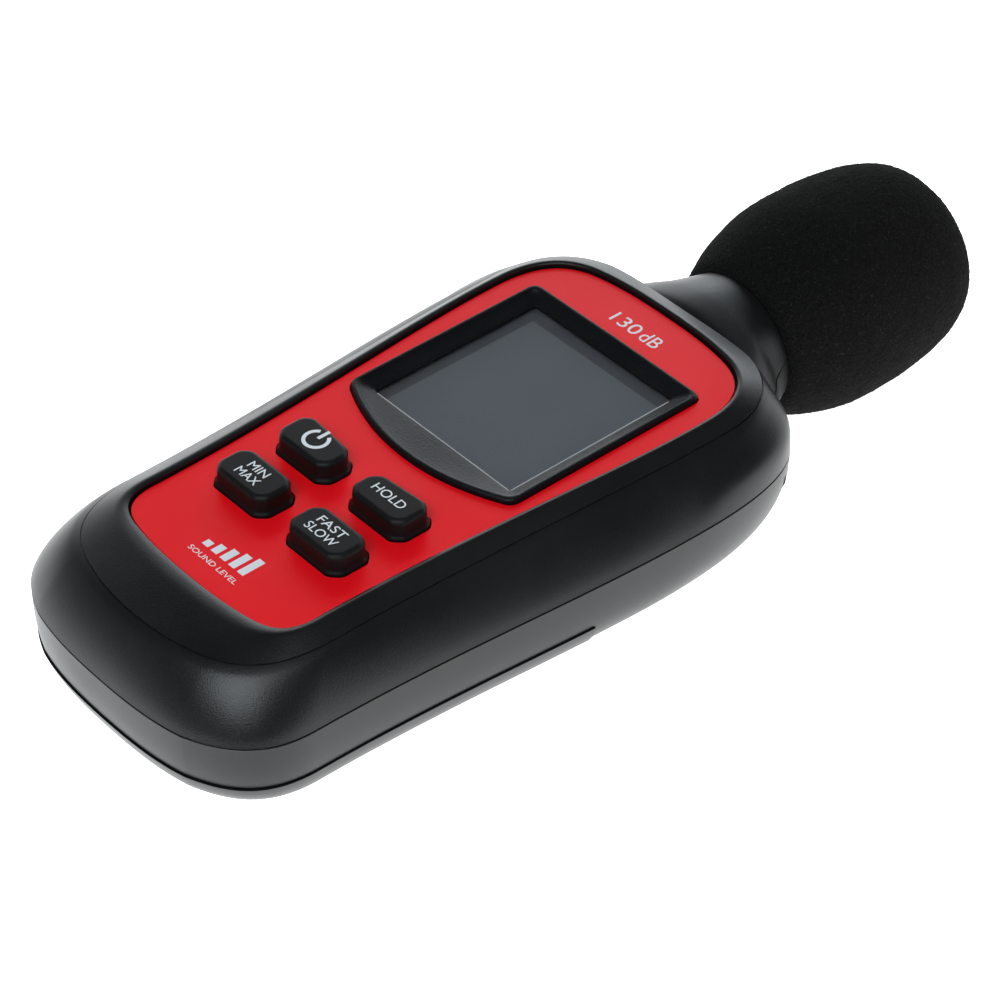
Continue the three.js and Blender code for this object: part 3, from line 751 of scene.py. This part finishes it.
def rear_housing(look):
    top = PARTING_Z - SEAM / 2
    shell = loft("housing_rear", rear_rings())
    joined_with(shell, neck("neck_foot", 0, top))
    for low, y0 in ((0, DOOR_TOP_Y + WALL), (DOOR_Z + 1.6, BEHIND_TAIL_Y)):
        inside = loft("inside", rear_rings(WALL, WALL))
        cut(shell, kept_inside(inside, block("part", EVERYWHERE, (y0, EVERYWHERE[1]), (low, PANEL_Z))))
    lid_top = BAY_CEILING_Z + 0.8
    lid = bay("lid", BAY_WALL, BAY_CEILING_Z, lid_top)
    kept_inside(lid, plate("reach", drawn_in(BODY, WALL + GAP), 0, lid_top + PAST))
    reach = loft("reach", rear_rings(extra=0.4, lift=0.6))
    sides = kept_inside(bay("sides", BAY_WALL, 0, top), reach)
    joined_with(shell, sides)
    joined_with(shell, lid)
    under_door = block("under_door", EVERYWHERE, (BEHIND_TAIL_Y, DOOR_TOP_Y + SEAM), (-PAST, DOOR_Z))
    kept = kept_inside(bay("kept", BAY_WALL, BAY_FOOT_Z, BAY_CEILING_Z), door_inside(GAP))
    cut(shell, cut(under_door, kept))
    cut(shell, bay("room", 0, -PAST, BAY_CEILING_Z))
    bored(shell)
    places = screw_places()
    posts = [upright("post", at["radius"], at["x"], at["y"], (at["head"], top)) for at in places]
    joined_with(shell, together(*posts))
    cut(shell, together(*[stepped_hole(place) for place in places]))
    return finished(smoothed(shell), look, "housing", "housing_rear", "rear_shell")


def stepped_hole(place, sides=32):
    """A screw's clearance hole over the wider sink for its head."""
    sink_top = place["head"] + SCREW_SINK_DEPTH
    steps = (SCREW_SINK_RADIUS, -PAST), (SCREW_SINK_RADIUS, sink_top)
    steps += (SCREW_SHANK_RADIUS, sink_top), (SCREW_SHANK_RADIUS, PANEL_Z)
    rings = []
    for radius, z in steps:
        turns = [math.tau * i / sides for i in range(sides)]
        rings.append([
            (place["x"] + radius * math.cos(a), place["y"] + radius * math.sin(a), z) for a in turns
        ])
    return skin("hole", rings)


def battery_cover(look):
    cover = loft("cover", rear_rings(-COVER_PROUD))
    kept_inside(cover, block("reach", EVERYWHERE, (BEHIND_TAIL_Y, DOOR_TOP_Y), (0, DOOR_Z - SEAM)))
    cut(cover, door_inside(0))
    first, pitch, half_length, half_width, depth = DOOR_TOP_Y - 5, 2.2, 7, 0.5, 0.45
    grips = []
    for i in range(5):
        y = first - pitch * i
        across = (-half_length, half_length)
        grips.append(block("grip", across, (y - half_width, y + half_width), (-PAST, depth)))
    cut(cover, together(*grips))
    return finished(smoothed(cover), look, "battery_cover", "housing_rear", "battery_cover")


# ---------------------------------------------------------------- panel and display
def panel(look):
    made = loft("panel_face", [
        (PANEL, PANEL_FOOT_Z),
        (PANEL, PANEL_Z - 0.1),
        (drawn_in(PANEL, 0.04), PANEL_Z - 0.03),
        (drawn_in(PANEL, 0.12), PANEL_Z),
    ])
    holes = [drawn_in(BEZEL, -0.12)] + [key_outline(key, SKIRT + KEY_GAP / 2) for key in KEYS.values()]
    cut(made, together(*[plate("hole", points, PANEL_FOOT_Z - PAST, PANEL_Z + PAST) for points in holes]))
    return finished(smoothed(made), look, "housing", "panel", "front_panel")


def bezel(look):
    seat = RECESS_Z + GAP
    lip = LENS_TOP_Z + GAP
    bead = 0.5
    bead_turn = math.radians(150)
    bead_steps, slope_steps = 12, 8
    rings = [(BEZEL, seat), (BEZEL, BEZEL_Z - bead)]
    for i in range(1, bead_steps + 1):
        angle = bead_turn * i / bead_steps
        inward = bead * (1 - math.cos(angle))
        rings.append((drawn_in(BEZEL, inward), BEZEL_Z - bead * (1 - math.sin(angle))))
    start, start_z = rings[-1]
    for i in range(1, slope_steps):
        share = i / slope_steps
        rings.append((mixed(start, LENS, share), start_z + (lip + 0.3 - start_z) * share**0.85))
    rings += [
        (LENS, lip + 0.24),
        (LENS, lip),
        (drawn_in(LENS, -0.9), lip),
        (drawn_in(LENS, -1.2), seat),
    ]
    made = smoothed(loft("bezel_frame", rings, joined=True), sharp_degrees=40)
    return finished(made, look, "housing", "bezel", "display_bezel")


def window(look):
    step = 0.22
    bevel = 0.09
    foot = drawn_in(LENS, -1)
    edge = drawn_in(LENS, 0.05)
    made = loft("display_window", [
        (foot, LENS_FOOT_Z),
        (foot, LENS_TOP_Z - step),
        (edge, LENS_TOP_Z - step),
        (edge, LENS_TOP_Z - bevel),
        (drawn_in(edge, bevel), LENS_TOP_Z),
    ])
    return finished(smoothed(made), look, "housing", "lens", "display_lens")


def window_highlight_strip(look):
    """A pale strip along the window's near side and its right side: a painted highlight for the glint where
    the window's edge catches the light.
    """
    right, near = LENS_HALF[2][0][0], LENS_HALF[-1][-1][1]
    left, far = -13.5, 16.5
    half, thickness = 0.07, 0.08
    low = LENS_TOP_Z + GAP + 0.2
    points = [
        (left, near - half),
        (right + half, near - half),
        (right + half, far),
        (right - half, far),
        (right - half, near + half),
        (left, near + half),
    ]
    made = plate("display_window_highlight_strip", [Vector(p) for p in points], low, low + thickness)
    return finished(smoothed(made), look, "housing", "lens")


def polariser(look):
    top = LENS_FOOT_Z - 0.06
    points = rectangle(-12.9, 13.4, -11.7, 15.6, 0.3)
    made = loft("display_polariser", [
        (points, top - 0.22),
        (points, top - 0.04),
        (drawn_in(points, 0.04), top),
    ])
    return finished(smoothed(made), look, "housing", "glass")


# ---------------------------------------------------------------- keys
def key_cap(name, key, look):
    flange = 0.9
    edge = 0.75
    edge_steps = 7
    rings = [
        (key_outline(key, flange), KEY_FOOT_Z),
        (key_outline(key, flange), MAT_FOOT_Z - GAP),
        (key_outline(key, SKIRT), MAT_FOOT_Z - GAP + 0.05),
        (key_outline(key, SKIRT), PANEL_Z + 0.2),
        (key_outline(key, SKIRT - 0.08), PANEL_Z + 0.38),
        (key_outline(key, 0.12), PANEL_Z + 0.55),
        (key_outline(key, 0.04), PANEL_Z + 0.8),
        (key_outline(key, 0), KEY_TOP_Z - edge - 0.1),
    ]
    for i in range(1, edge_steps + 1):
        angle = math.pi / 2 * i / edge_steps
        inward = edge * (1 - math.cos(angle))
        rings.append((key_outline(key, -inward), KEY_TOP_Z - edge * (1 - math.sin(angle))))
    made = smoothed(loft("keycap_" + name, rings), sharp_degrees=50)
    return finished(made, look, "key_" + name, "rubber", "key_" + name)


INK = 0.03


def inked(name, bm, look, body):
    """A printed mark: flat faces on the surface given a skin of ink."""
    made = object_of(name, bm)
    thick = made.modifiers.new("ink", "SOLIDIFY")
    thick.thickness = INK * MM
    thick.offset = 0
    settle(made)
    return finished(made, look, body, "white")


def lettering(name, words, place, width, height, look, body):
    """Plain words fitted to a width and a height in millimetres."""
    text = bpy.data.curves.new(name, "FONT")
    text.body = words
    letters = bpy.data.objects.new(name, text)
    bpy.context.collection.objects.link(letters)
    graph = bpy.context.evaluated_depsgraph_get()
    mesh = bpy.data.meshes.new_from_object(letters.evaluated_get(graph))
    remove(letters)
    xs = [v.co.x for v in mesh.vertices]
    ys = [v.co.y for v in mesh.vertices]
    grow = Vector((width / (max(xs) - min(xs)), height / (max(ys) - min(ys)), 0))
    middle = Vector(((max(xs) + min(xs)) / 2, (max(ys) + min(ys)) / 2, 0))
    for vertex in mesh.vertices:
        vertex.co = (Vector(place) + (vertex.co - middle) * grow) * MM
    bm = bmesh.new()
    bm.from_mesh(mesh)
    bmesh.ops.remove_doubles(bm, verts=bm.verts, dist=1e-7)
    return inked(name, bm, look, body)


def flat_shape(bm, points, z):
    bm.faces.new([bm.verts.new(Vector((x, y, z)) * MM) for x, y in points])


def flat_bar(bm, x, half, y0, y1, z):
    flat_shape(bm, [(x - half, y0), (x + half, y0), (x + half, y1), (x - half, y1)], z)


def power_mark(look):
    key = KEYS["power"]
    x, y, z = key["x"], key["y"] + 0.1, KEY_TOP_Z + INK / 2
    outer, inner, opening = 2.0, 1.46, math.radians(32)
    bm = bmesh.new()
    steps = 40
    start, sweep = math.pi / 2 + opening, math.tau - 2 * opening
    turns = [start + sweep * i / steps for i in range(steps + 1)]
    arc = [(x + outer * math.cos(a), y + outer * math.sin(a)) for a in turns]
    arc += [(x + inner * math.cos(a), y + inner * math.sin(a)) for a in reversed(turns)]
    flat_shape(bm, arc, z)
    flat_bar(bm, x, (outer - inner) / 2, y + 0.25, y + 2.3, z)
    return inked("print_power", bm, look, "key_power")


def level_bars(look):
    """A generic mark: five bars of rising level."""
    left, pitch, half_width = -3.3, 1.85, 0.6
    foot, lowest, step = -49.7, 1.15, 0.65
    bm = bmesh.new()
    for i in range(5):
        rise = lowest + step * i
        flat_bar(bm, left + pitch * i, half_width, foot, foot + rise, PANEL_Z + INK / 2)
    return inked("print_level_bars", bm, look, "housing")


# Each word on a key: its key, how far it stands above the key's middle, its width and its height.
KEY_WORDS = {
    "HOLD": ("hold", 0, 6.0, 1.5),
    "MIN": ("min_max", 0.95, 3.6, 1.4),
    "MAX": ("min_max", -0.95, 4.3, 1.4),
    "FAST": ("fast_slow", 0.95, 5.2, 1.4),
    "SLOW": ("fast_slow", -0.95, 5.8, 1.4),
}


def prints(look):
    power_mark(look)
    level_bars(look)
    for word, (name, rise, width, height) in KEY_WORDS.items():
        key = KEYS[name]
        place = (key["x"], key["y"] + rise, KEY_TOP_Z + INK / 2)
        lettering("print_" + word.lower(), word, place, width, height, look, "key_" + name)
    z = PANEL_Z + INK / 2
    lettering("print_range_number", "130", (-2.1, 23.6, z), 5.2, 2.3, look, "housing")
    lettering("print_range_unit", "dB", (2.9, 23.6, z), 3.4, 2.35, look, "housing")
    lettering("print_caption", "SOUND LEVEL", (0.4, -51.2, z), 9.8, 0.85, look, "housing")


# ---------------------------------------------------------------- windscreen
FOAM_PROFILE = [
    [10.7, FOAM_START_Y],
    [11.9, FOAM_START_Y + 0.7],
    [13, 46.2],
    [14.6, 50],
    [16.1, 56],
    [16.3, 63],
    [15.9, 69.2],
    [14.8, 74.8],
    [12.7, 79],
    [8.7, 81.2],
    [0, FOAM_END_Y],
]


def windscreen(look):
    bore = TUBE_RADIUS + GAP
    outside = curve_through(FOAM_PROFILE, 15)
    profile = [[0, TUBE_END_Y + 1], [bore, TUBE_END_Y + 1], [bore, FOAM_START_Y + 0.2]]
    profile += [[max(radius, 0), y] for radius, y in outside]
    foam = turned("foam_windscreen", profile, sides=400)
    fine_rate, fine_depth = 2.8, 0.13
    broad_rate, broad_depth = 0.3, 0.06
    ways = [vertex.normal.copy() for vertex in foam.data.vertices]
    for vertex, way in zip(foam.data.vertices, ways):
        place = vertex.co / MM
        in_bore = math.hypot(place.x, place.z - MIC_Z) < bore + 0.1 and place.y < TUBE_END_Y + 2
        if in_bore:
            continue
        fine = noise.noise(place * fine_rate) * fine_depth
        rough = fine + noise.noise(place * broad_rate) * broad_depth
        vertex.co += way * rough * MM
    foam.data.shade_smooth()
    finished(foam, look, "windscreen", "foam", "windscreen")
    return foam


# ---------------------------------------------------------------- batteries and inner pieces
def cell_sleeve(foot, shoulder):
    """A cell's profile up to its shoulder, as [radius, place along the cell]."""
    edge = CELL_RADIUS - 0.15
    return [
        [0, foot + 0.15],
        [CELL_RADIUS - 0.9, foot + 0.15],
        [CELL_RADIUS - 0.7, foot],
        [edge, foot + 0.05],
        [CELL_RADIUS, foot + 0.3],
        [CELL_RADIUS, shoulder - 0.3],
        [edge, shoulder],
        [CELL_RADIUS - 0.8, shoulder + 0.1],
        [CELL_RADIUS - 1, shoulder - 0.05],
        [0, shoulder - 0.05],
    ]


def cell_nub(shoulder, end):
    return [[0, shoulder], [2.3, shoulder], [1.95, shoulder + 0.3], [1.9, end - 0.2], [1.7, end], [0, end]]


def battery_cells(wrapper, can):
    """Three cells side by side; the middle one faces the other way."""
    contact_thickness, nub_length = 0.4, 1.4
    nub_end = BAY_HALF_LENGTH - 2 * GAP - contact_thickness
    foot = nub_end - CELL_LENGTH
    shoulder = nub_end - nub_length
    pieces = (
        ("cell_sleeve_", cell_sleeve(foot, shoulder), wrapper, "cell"),
        ("cell_nub_", cell_nub(shoulder, nub_end), can, "metal"),
    )
    for i in range(3):
        way = -1 if i == 1 else 1
        number = str(i + 1)
        for name, profile, look, slot in pieces:
            placed = [[radius, BAY_Y + way * y] for radius, y in profile]
            piece = turned(name + number, placed, 48, (i - 1) * CELL_PITCH, CELL_Z)
            nodes = ["battery_cell_" + number] if slot == "cell" else []
            finished(smoothed(piece, sharp_degrees=40), look, "housing", slot, *nodes)


def numbered(kind, count):
    return [kind + str(i + 1) for i in range(count)]


def rubber_and_chips():
    """Looks of the dull inner pieces, as pairs of a material and the CAD nodes that have it."""
    rubber = moulded("inner_rubber", (0.01, 0.01, 0.01), (0.016, 0.016, 0.017), 0.7, 0.3, 0.02)
    epoxy = moulded("chip_epoxy", (0.012, 0.012, 0.013), (0.02, 0.02, 0.022), 0.5, 0.12, 0.01)
    white = moulded("white_moulding", (0.68, 0.68, 0.65), (0.74, 0.74, 0.72), 0.45, 0.3, 0.01)
    carbon = moulded("carbon_rubber", (0.02, 0.02, 0.022), (0.03, 0.03, 0.032), 0.75, 0.1, 0.01)
    red = moulded("red_insulation", (0.35, 0.02, 0.02), (0.42, 0.03, 0.03), 0.5, 0.4, 0.01)
    return [
        (rubber, ["keypad_mat", "elastomer_strip", "neck_seal", "mic_lead_ground"]),
        (epoxy, ["processor_chip", "amplifier_chip"]),
        (white, ["backlight_holder", "calibration_trimmer"]),
        (carbon, ["carbon_pill_" + name for name in KEYS]),
        (red, ["mic_lead_signal"]),
    ]


def metals(steel):
    """Looks of the inner metal pieces, as pairs of a material and the CAD nodes that have it."""
    aluminium = metal("turned_aluminium", (0.72, 0.73, 0.74), 0.3, (0.15, 1, 0.15))
    gold = metal("gold_flash", (0.8, 0.58, 0.25), 0.3)
    plated = ["supply_capacitor", "quartz_can", "mic_capsule", *numbered("case_screw_", 4)]
    for kind in ("contact_base_", "contact_flat_", "contact_spring_"):
        plated += numbered(kind, 3)
    return [
        (steel, plated),
        (aluminium, ["mic_tube"]),
        (gold, ["contact_pad_" + name for name in KEYS]),
        (gauze(), ["mic_gauze"]),
    ]


def inner_looks(steel):
    """Materials for the CAD nodes that stay as they are."""
    glass = display_layer("display_glass", (0.1, 0.11, 0.125), (0.115, 0.125, 0.145))
    looks = [(glass, ["lcd_glass"]), (circuit_board(), ["main_board"]), *rubber_and_chips(), *metals(steel)]
    for look, names in looks:
        for name in names:
            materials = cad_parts[name].data.materials
            materials.clear()
            materials.append(look)


# ---------------------------------------------------------------- stage
TAIL_REST_Y = -61.5
FOAM_MIDDLE_Y = 50
FLOOR_REACH = 6000
FLOOR_CLEARANCE = 0.05


def floor(foam):
    """A pale floor: it slopes from the tail's back edge to the windscreen, and is level behind the tail."""
    far_half = [v.co / MM for v in foam.data.vertices if v.co.y / MM > FOAM_MIDDLE_Y]
    slope = min(p.z / (p.y - TAIL_REST_Y) for p in far_half)
    far_z = slope * (FLOOR_REACH - TAIL_REST_Y)
    bm = bmesh.new()
    rows = []
    for y, z in ((-FLOOR_REACH, 0), (TAIL_REST_Y, 0), (FLOOR_REACH, far_z)):
        ends = (-FLOOR_REACH, y, z - FLOOR_CLEARANCE), (FLOOR_REACH, y, z - FLOOR_CLEARANCE)
        rows.append([bm.verts.new(Vector(p) * MM) for p in ends])
    for near, far in zip(rows, rows[1:]):
        bm.faces.new((*near, *reversed(far)))
    made = object_of("floor", bm)
    look, tree, shader = base_material("pale_floor", (0.9, 0.9, 0.9), 0.7)
    tone = blended(tree, noise_of(tree, 80), (0.89, 0.89, 0.89), (0.92, 0.92, 0.92))
    tree.links.new(tone, shader.inputs["Base Color"])
    shader.inputs["Specular IOR Level"].default_value = 0.2
    shader.inputs["Emission Color"].default_value = (1, 1, 1, 1)
    shader.inputs["Emission Strength"].default_value = 1.35
    made.data.materials.append(look)


def toward(tree, way, direction, start, end, low, high):
    """Goes smoothly from low to high as the view into the world turns toward a direction."""
    along = tree.nodes.new("ShaderNodeVectorMath")
    along.operation = "DOT_PRODUCT"
    along.inputs[1].default_value = direction
    tree.links.new(way, along.inputs[0])
    ranged = node(tree, "ShaderNodeMapRange", From_Min=start, From_Max=end, To_Min=low, To_Max=high)
    ranged.interpolation_type = "SMOOTHSTEP"
    tree.links.new(along.outputs["Value"], ranged.inputs["Value"])
    return ranged.outputs["Result"]


def studio():
    """A bright backdrop behind the part, dim elsewhere, and three softboxes."""
    world = bpy.data.worlds.new("studio")
    bpy.context.scene.world = world
    world.use_nodes = True
    tree = world.node_tree
    way = node(tree, "ShaderNodeTexCoord").outputs["Generated"]
    backdrop = toward(tree, way, (0.3, 0, 1), start=0.26, end=0.42, low=2.0, high=0.05)
    far_side = toward(tree, way, (0, 1, 0), start=-0.12, end=0.28, low=0.12, high=1)
    strength = tree.nodes.new("ShaderNodeMath")
    strength.operation = "MULTIPLY"
    tree.links.new(backdrop, strength.inputs[0])
    tree.links.new(far_side, strength.inputs[1])
    tree.links.new(strength.outputs["Value"], tree.nodes["Background"].inputs["Strength"])
    tree.nodes["Background"].inputs["Color"].default_value = (0.94, 0.98, 1, 1)
    cool = (0.9, 0.97, 1)
    softbox("front", azimuth=-62, elevation=50, width=0.84, height=0.68, radiance=4.9, colour=cool)
    softbox("side", azimuth=-10, elevation=62, width=0.4, height=0.4, radiance=2.4, colour=(1, 1, 1))
    cooler = (0.84, 0.94, 1)
    softbox("low_back", azimuth=122, elevation=24, width=0.7, height=0.4, radiance=2.2, colour=cooler)


def softbox(name, azimuth, elevation, width, height, radiance, colour, distance=1.0):
    """An oval area light of a given brightness, facing the part from a direction in degrees."""
    light = bpy.data.lights.new(name, "AREA")
    light.shape = "ELLIPSE"
    light.size = width
    light.size_y = height
    light.energy = radiance * math.pi * math.pi * width * height / 4
    light.color = colour
    lamp = bpy.data.objects.new(name, light)
    bpy.context.collection.objects.link(lamp)
    turn, rise = math.radians(azimuth), math.radians(elevation)
    way = Vector((math.cos(turn) * math.cos(rise), math.sin(turn) * math.cos(rise), math.sin(rise)))
    lamp.location = way * distance
    lamp.rotation_euler = way.to_track_quat("Z", "Y").to_euler()


CAMERA_AZIMUTH = 49.0
CAMERA_ELEVATION = 40.35
CAMERA_DISTANCE = 477.3
CAMERA_LEFT = 1.34
CAMERA_DOWN = 13.64


def camera():
    """A long lens aimed a little to the left of and below a point on the panel."""
    azimuth, elevation = math.radians(CAMERA_AZIMUTH), math.radians(CAMERA_ELEVATION)
    right = Vector((math.cos(azimuth), math.sin(azimuth), 0))
    back = Vector((
        math.sin(azimuth) * math.cos(elevation),
        -math.cos(azimuth) * math.cos(elevation),
        math.sin(elevation),
    ))
    up = back.cross(right)
    data = bpy.data.cameras.new("camera")
    data.lens = 126
    data.sensor_width = 36
    data.clip_end = 50
    view = bpy.data.objects.new("camera", data)
    bpy.context.collection.objects.link(view)
    place = Vector((0, 0, PANEL_Z)) + back * CAMERA_DISTANCE - right * CAMERA_LEFT - up * CAMERA_DOWN
    turn = Matrix((right, up, back)).transposed().to_4x4()
    view.matrix_world = Matrix.Translation(place * MM) @ turn
    bpy.context.scene.camera = view


def build():
    camera()
    steel = metal("nickel_steel", (0.62, 0.62, 0.6), 0.3)
    inner_looks(steel)
    rear = rear_plastic()
    front_housing(housing_plastic())
    rear_housing(rear)
    battery_cover(rear)
    panel(panel_red())
    bezel(bezel_plastic())
    window(window_plastic())
    # A pale strip on the window's near and right edges, as a painted highlight.
    window_highlight_strip(painted_edge_highlight())
    polariser(display_layer("display_polariser_film", (0.21, 0.225, 0.25), (0.225, 0.245, 0.27)))
    rubber = key_rubber()
    for name, key in KEYS.items():
        key_cap(name, key, rubber)
    prints(white_ink())
    foam = windscreen(foam_cells())
    battery_cells(cell_wrapper(), steel)
    floor(foam)
    studio()
    bpy.context.scene.view_settings.view_transform = "Standard"


build()
